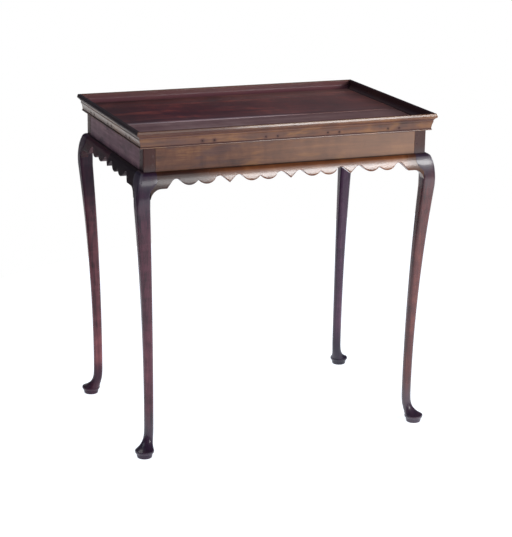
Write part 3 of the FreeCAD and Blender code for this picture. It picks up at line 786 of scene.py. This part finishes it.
for side, (sunk, *tones) in BOARDS.items():
    low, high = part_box("tray_board_" + side)
    high.z -= sunk
    # The near-white worn colour is the painted highlight at the joint.
    tray_wood = old_wood("tray_mahogany_" + side, 0, *tones, roughness=0.38, coat=0.05,
                         inside=(2, rim_foot + 2 * MM), fade=board_fade, worn=rgb(236, 214, 218),
                         streaks=(2.5, 34))
    board = new_piece("polished_board_" + side, *tube(board_points(low, high)))
    paint(board, "grime_and_shade", board_grime_and_shade)
    paint(board, "wear_and_highlight", board_joint_highlight)
    stand_for(board, "tray_board_" + side, tray_wood)


# Top screws: old iron screws, brown with rust, that hold the boards down.
# They are driven up through sloping pockets in the rails.

iron, iron_shade, iron_shader = new_material("old_iron", {"Metallic": 0.7, "Roughness": 0.55})
iron_place = iron_shade.node("ShaderNodeTexCoord", {}, {}, out="Object")
rust = iron_shade.node("ShaderNodeTexNoise", {}, {"Vector": iron_place, "Scale": 900.0, "Detail": 4.0})
rusted = rust.step(0.4, 0.65).mix(rgb(48, 44, 42), rgb(86, 54, 36))
iron.node_tree.links.new(rusted.socket, iron_shader.inputs["Base Color"])
dress(nodes["top_screws"], iron)


# Gallery rim: four lengths of mahogany moulding mitred round the boards and nailed to their edges.
# A bead, a leaning fascia, a cove and a rounded nose stand up outside, and a hollow meets the floor.

rim_fascia = 8.3 * MM
rim_lean = 3.2 * MM
rim_nose_edge = 14.3 * MM
rim_inner = 10 * MM
rim_lap = 1 * MM
lip_round = 1.6 * MM
hollow_radius = 9 * MM
floor_top = 681.5 * MM
cove_shade = 687.2 * MM
nose_line = (689 * MM, 691 * MM)
rim_top = 700 * MM
mitre_gap = 0.08 * MM


def arc_run(start, end, radius, steps):
    """Points of an arc from start up to, not at, end: turning left, or right if radius is negative."""
    start, end = np.array(start), np.array(end)
    chord = end - start
    half = np.hypot(*chord) / 2
    lift = math.copysign(math.sqrt(max(radius ** 2 - half ** 2, 0)), radius) / (2 * half)
    centre = (start + end) / 2 + lift * np.array([-chord[1], chord[0]])
    sweep = math.copysign(2 * math.asin(min(half / abs(radius), 1)), radius)
    angle = math.atan2(*(start - centre)[::-1]) + sweep * np.linspace(0, 1, steps, endpoint=False)
    return centre + abs(radius) * np.stack([np.cos(angle), np.sin(angle)], axis=-1)


bead_foot = (rim_fascia, rim_foot)
bead_chin = (rim_fascia + 1.3 * MM, rim_foot + 0.7 * MM)
bead_brow = (rim_fascia + 0.72 * MM, rim_foot + 2.6 * MM)
bead_top = (rim_fascia, rim_foot + 3.2 * MM)
cove_foot = (rim_fascia + rim_lean, floor_top + 0.5 * MM)
cove_top = (rim_nose_edge, 688.8 * MM)
nose_foot = (rim_nose_edge, 690.2 * MM)
nose_edge = (rim_nose_edge + 1.0 * MM, 690.2 * MM)
nose_chin = (rim_nose_edge + 3.53 * MM, 694.4 * MM)
nose_brow = (rim_nose_edge + 2.33 * MM, 699.2 * MM)
nose_top = (rim_nose_edge + 1.3 * MM, rim_top)
lip_top = (rim_inner + lip_round, rim_top)
lip_foot = (rim_inner, rim_top - lip_round)
hollow_top = (rim_inner, floor_top + hollow_radius)
hollow_foot = (rim_lap, floor_top)
rim_section = np.concatenate([
    [(rim_lap, rim_foot)],
    arc_run(bead_foot, bead_chin, 1.1 * MM, 5),
    arc_run(bead_chin, bead_brow, 12 * MM, 5),
    arc_run(bead_brow, bead_top, 0.8 * MM, 5),
    arc_run(bead_top, cove_foot, -40 * MM, 9),
    arc_run(cove_foot, cove_top, -6.3 * MM, 9),
    np.linspace(cove_top, nose_foot, 2, endpoint=False),
    np.linspace(nose_foot, nose_edge, 2, endpoint=False),
    arc_run(nose_edge, nose_chin, 3.6 * MM, 7),
    arc_run(nose_chin, nose_brow, 42 * MM, 9),
    arc_run(nose_brow, nose_top, 1.0 * MM, 7),
    np.linspace(nose_top, lip_top, 2, endpoint=False),
    arc_run(lip_top, lip_foot, lip_round, 5),
    np.linspace(lip_foot, hollow_top, 4, endpoint=False),
    arc_run(hollow_top, hollow_foot, -hollow_radius, 10),
    [hollow_foot],
])

nail_gap = 26 * MM
nail_height = 673 * MM
nail_seat = 7.3 * MM
nail_head = 1.6 * MM
nail_shank = 0.9 * MM
nail_room = 0.1 * MM
hole_mouth = 12 * MM
NAILS = {
    "long": 138 * MM * np.array([-1.5, -0.5, 0.5, 1.5]) - 27 * MM,
    "end": 130 * MM * np.array([-1, 0, 1]),
}


def nail_spots(kind):
    """Where the nails of a side are along it, in pairs, each padded to as many as a long side has."""
    spots = (NAILS[kind][:, None] + nail_gap * np.array([-0.5, 0.5])).ravel()
    return np.resize(spots, 2 * len(NAILS["long"]))


def rim_points(side, kind):
    """The section carried along a side, closer near the nails, each point as far as its mitre."""
    _, _, run = SIDES[side]
    near_nails = nail_spots(kind)[:, None] + 2 * MM * np.arange(-4, 5)
    share = np.unique(np.append(np.linspace(-1, 1, 160), near_nails / (run + rim_fascia)))
    out, height = rim_section.T
    points = np.empty((len(share), len(rim_section), 3))
    points[..., 0] = share[:, None] * (run + out - mitre_gap)
    points[..., 1] = out
    points[..., 2] = height
    return to_side(points, side)


def rim_wear(x, y, z):
    """Handling along the nose and the lip of the front and the back."""
    long_side = np.abs(y) - half_depth > np.abs(x) - half_length
    return 0.5 * smooth(z, 692 * MM, 698 * MM) * long_side


def rim_grime_and_shade(x, y, z):
    """Painted shade in the cove, over the bead and inside the tray, and iron stains at the nails.

    The wood is darker too on the noses of the ends, and toward both ends of the front.
    """
    out_x = np.abs(x) - half_length
    out_y = np.abs(y) - half_depth
    out = np.maximum(out_x, out_y)
    ends = out_x > out_y
    above = smooth(z, *nose_line)
    # Painted shade in the cove, in the quirk over the bead, and over the hollow inside the tray.
    cove = np.exp(-((z - cove_shade) / (1.5 * MM)) ** 2) * smooth(out, 8 * MM, 9 * MM)
    quirk = np.exp(-((z - bead_top[1]) / (1.0 * MM)) ** 2) * smooth(out, 7 * MM, 8 * MM)
    hollow = smooth(out, 11 * MM, 9.5 * MM) * smooth(z, floor_top - 1 * MM, floor_top)
    along = np.where(ends, y, x * np.sign(y))
    away = np.abs(along[:, None] - np.where(ends[:, None], nail_spots("end"), nail_spots("long")))
    stain = np.exp(-(away.min(axis=1) ** 2 + (z - nail_height) ** 2) / (4.5 * MM) ** 2)
    far = smooth(x, 0, -200 * MM) + 0.8 * smooth(x, 190 * MM, 290 * MM)
    front = (y < 0) * ~ends * far * (0.3 + 0.32 * above * (x < 0))
    return np.clip(0.65 * cove + 0.9 * (quirk + hollow + ends * above) + front + 0.8 * stain, 0, 1)


hole_profile = [
    (nail_shank + nail_room, 0),
    (nail_shank + nail_room, nail_seat - nail_room),
    (nail_head + nail_room, nail_seat - nail_room),
    (nail_head + nail_room, hole_mouth),
]
RIM_TONES = (rgb(58, 29, 18), rgb(108, 61, 33), rgb(146, 95, 50))
# Each side's first colour is its painted shade: near black on the right, whose inner face lies in
# shade, pale pink on the back, whose inner face is lit.
RIM_FINISHES = {
    "front": (rgb(74, 37, 35), 0.5),
    "back": (rgb(128, 80, 88), 0.5),
    "left": (rgb(24, 10, 14), 0.5),
    "right": (rgb(48, 16, 28), 0.3),
}
for side, (soil_and_shade, specular) in RIM_FINISHES.items():
    grain, kind = (0, "long") if side in ("front", "back") else (1, "end")
    rim_wood = old_wood("rim_mahogany_" + side, grain, *RIM_TONES, roughness=0.32, coat=specular / 2,
                        specular=specular, soil_and_shade=soil_and_shade, dull=0.35, worn=rgb(172, 126, 80),
                        patches=(rgb(150, 98, 42), rgb(84, 48, 46)))
    rim = new_piece("nailed_rim_" + side, *tube(rim_points(side, kind)))
    holes = [tube(to_side(turned(hole_profile, spot, nail_height), side))
             for spot in np.unique(nail_spots(kind))]
    drill = new_piece("nail_drill", *joined(holes))
    cut(rim, drill)
    bpy.data.objects.remove(drill)
    paint(rim, "wear_and_highlight", rim_wear)
    paint(rim, "grime_and_shade", rim_grime_and_shade)
    stand_for(rim, "rim_" + side, rim_wood)


# Rim nails: pairs of wrought iron nails with small round heads, as rusty as the screws.
# They are driven through the rim into the edges of the boards and sunk below its face.

dress(nodes["rim_nails"], iron)


# Studio: a round white floor that glows softly, in a surround that is white to the camera alone.
# Two softboxes and a fill light the front from the right, and a cool fill hangs high at the left.
# Behind the table a small panel stands low on the floor, and another fill hangs above it.

floor_radius = 2.4
floor_middle = np.array([0.9, -0.9, 0])
floor_steps = 96
round_floor = np.linspace(0, 2 * np.pi, floor_steps, endpoint=False)
floor_edge = np.stack([np.cos(round_floor), np.sin(round_floor), 0 * round_floor], axis=-1)
floor = new_piece("floor", floor_middle + floor_radius * floor_edge, [list(range(floor_steps))])
floor_paint, _, _ = new_material("floor_paint", {
    "Base Color": (0.85, 0.85, 0.86, 1),
    "Roughness": 0.9,
    "Specular IOR Level": 0.0,
    "Emission Color": (0.9, 0.95, 1.0, 1),
    "Emission Strength": 1.0,
})
floor.data.materials.append(floor_paint)


def shine(name, strength, place, aim, width, height, colour=(1, 1, 1), mirrored=True):
    """A softbox at a place, turned toward a point, that polished wood mirrors or not."""
    lamp = bpy.data.lights.new(name, "AREA")
    lamp.energy = strength
    lamp.color = colour
    lamp.shape = "RECTANGLE"
    lamp.size = width
    lamp.size_y = height
    holder = bpy.data.objects.new(name, lamp)
    holder.visible_glossy = mirrored
    holder.location = place
    holder.rotation_mode = "QUATERNION"
    holder.rotation_quaternion = (Vector(aim) - Vector(place)).to_track_quat("-Z", "Y")
    bpy.context.scene.collection.objects.link(holder)


frieze_middle = (0, 0, 0.6)
shine("softbox_right", 26, (1.42, -2.95, 1.48), frieze_middle, 0.95, 0.46)
shine("fill_right", 28, (2.24, -2.38, 1.48), frieze_middle, 1.05, 0.46, mirrored=False)
shine("softbox_left", 5, (0.7, -3.0, 1.48), frieze_middle, 0.56, 0.46)
shine("fill_left", 14, (-2.6, 0.7, 2.9), frieze_middle, 1.6, 1.6, (0.8, 0.9, 1.0))
shine("floor_behind", 2.4, (-0.5, 2.05, 0.03), (-0.4, 0, 0.9), 0.55, 1.2, (1.0, 1.0, 0.96))
shine("fill_behind", 30, (-0.6, 2.6, 4.6), frieze_middle, 2.0, 2.0)

world = bpy.data.worlds.new("studio_walls")
bpy.context.scene.world = world
world.use_nodes = True
air = Shade(world.node_tree)
seen = air.node("ShaderNodeLightPath", {}, {}, out="Is Camera Ray")
walls = seen.mix((0.045, 0.05, 0.08, 1), (1, 1, 1, 1))
world.node_tree.links.new(walls.socket, world.node_tree.nodes["Background"].inputs["Color"])


# Camera: a long lens at the height, distance and angle that the photograph was taken from.
# Its place was found from the corners of the rim, the knees and the feet.

camera_azimuth = math.radians(-21.54)
camera_height_angle = math.radians(16.27)
camera_distance = 3.71544
camera_aim = Vector((0.0118, 0, 0.3267))
camera_roll = math.radians(0.87)
camera_lens = 111.58

camera = bpy.data.objects.new("camera", bpy.data.cameras.new("camera"))
back = Vector((
    math.sin(camera_azimuth) * math.cos(camera_height_angle),
    -math.cos(camera_azimuth) * math.cos(camera_height_angle),
    math.sin(camera_height_angle),
))
camera.location = camera_aim + back * camera_distance
camera.rotation_mode = "QUATERNION"
camera.rotation_quaternion = (-back).to_track_quat("-Z", "Y") @ Quaternion((0, 0, 1), camera_roll)
camera.data.lens = camera_lens
bpy.context.scene.collection.objects.link(camera)
bpy.context.scene.camera = camera
bpy.context.scene.view_settings.view_transform = "Standard"
